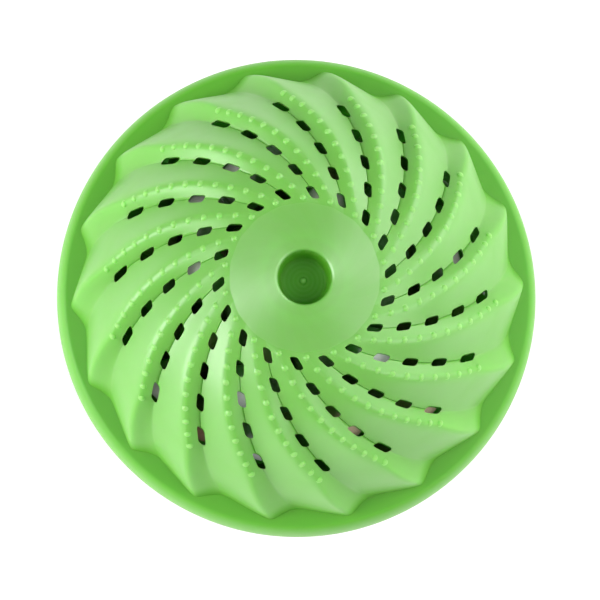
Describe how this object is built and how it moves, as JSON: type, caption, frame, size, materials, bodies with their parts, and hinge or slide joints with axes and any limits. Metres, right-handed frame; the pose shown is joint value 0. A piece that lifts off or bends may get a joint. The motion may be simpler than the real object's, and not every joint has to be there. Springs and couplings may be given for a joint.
{
  "type": "laundry ball",
  "caption": "Round green laundry ball: two slotted half shells with swirling vanes and a belt push together round a charge of loose ceramic beads.",
  "frame": {"origin": "centre of the ball, on the parting plane of its two halves", "axes": "+Z along the ball's axis through both crowns, upper half up; +X and +Y are the right and the top of the picture"},
  "size_m": [0.0998, 0.1, 0.0852],
  "materials": {
    "shell_plastic": "satin apple-green moulded plastic",
    "bead_grey": "fired grey ceramic",
    "bead_white": "fired off-white ceramic",
    "bead_tan": "fired tan ceramic",
    "bead_brown": "fired brown ceramic"
  },
  "bodies": {
    "lower_half": {"lower_shell": "shell_plastic"},
    "upper_half": {"upper_shell": "shell_plastic"},
    "bead_charge": {"bead_brown_01": "bead_brown", "bead_brown_02": "bead_brown", "bead_brown_03": "bead_brown", "bead_brown_04": "bead_brown", "bead_brown_05": "bead_brown", "bead_brown_06": "bead_brown", "bead_brown_07": "bead_brown", "bead_brown_08": "bead_brown", "bead_brown_09": "bead_brown", "bead_brown_10": "bead_brown", "bead_brown_11": "bead_brown", "bead_grey_01": "bead_grey", "bead_grey_02": "bead_grey", "bead_grey_03": "bead_grey", "bead_grey_04": "bead_grey", "bead_grey_05": "bead_grey", "bead_grey_06": "bead_grey", "bead_grey_07": "bead_grey", "bead_grey_08": "bead_grey", "bead_grey_09": "bead_grey", "bead_grey_10": "bead_grey", "bead_grey_11": "bead_grey", "bead_grey_12": "bead_grey", "bead_grey_13": "bead_grey", "bead_grey_14": "bead_grey", "bead_grey_15": "bead_grey", "bead_grey_16": "bead_grey", "bead_grey_17": "bead_grey", "bead_grey_18": "bead_grey", "bead_grey_19": "bead_grey", "bead_grey_20": "bead_grey", "bead_grey_21": "bead_grey", "bead_grey_22": "bead_grey", "bead_grey_23": "bead_grey", "bead_tan_01": "bead_tan", "bead_tan_02": "bead_tan", "bead_tan_03": "bead_tan", "bead_tan_04": "bead_tan", "bead_tan_05": "bead_tan", "bead_tan_06": "bead_tan", "bead_tan_07": "bead_tan", "bead_tan_08": "bead_tan", "bead_tan_09": "bead_tan", "bead_tan_10": "bead_tan", "bead_tan_11": "bead_tan", "bead_white_01": "bead_white", "bead_white_02": "bead_white", "bead_white_03": "bead_white", "bead_white_04": "bead_white", "bead_white_05": "bead_white", "bead_white_06": "bead_white", "bead_white_07": "bead_white", "bead_white_08": "bead_white", "bead_white_09": "bead_white", "bead_white_10": "bead_white", "bead_white_11": "bead_white"}
  },
  "joints": [
    {"name": "lift_off", "type": "slide", "parent": "lower_half", "child": "upper_half", "axis": [0, 0, 1], "range_m": [0, 0.07]},
    {"name": "bead_roll", "type": "hinge", "parent": "lower_half", "child": "bead_charge", "pos_m": [0, 0, 0], "axis": [0, 0, 1], "continuous": true}
  ]
}
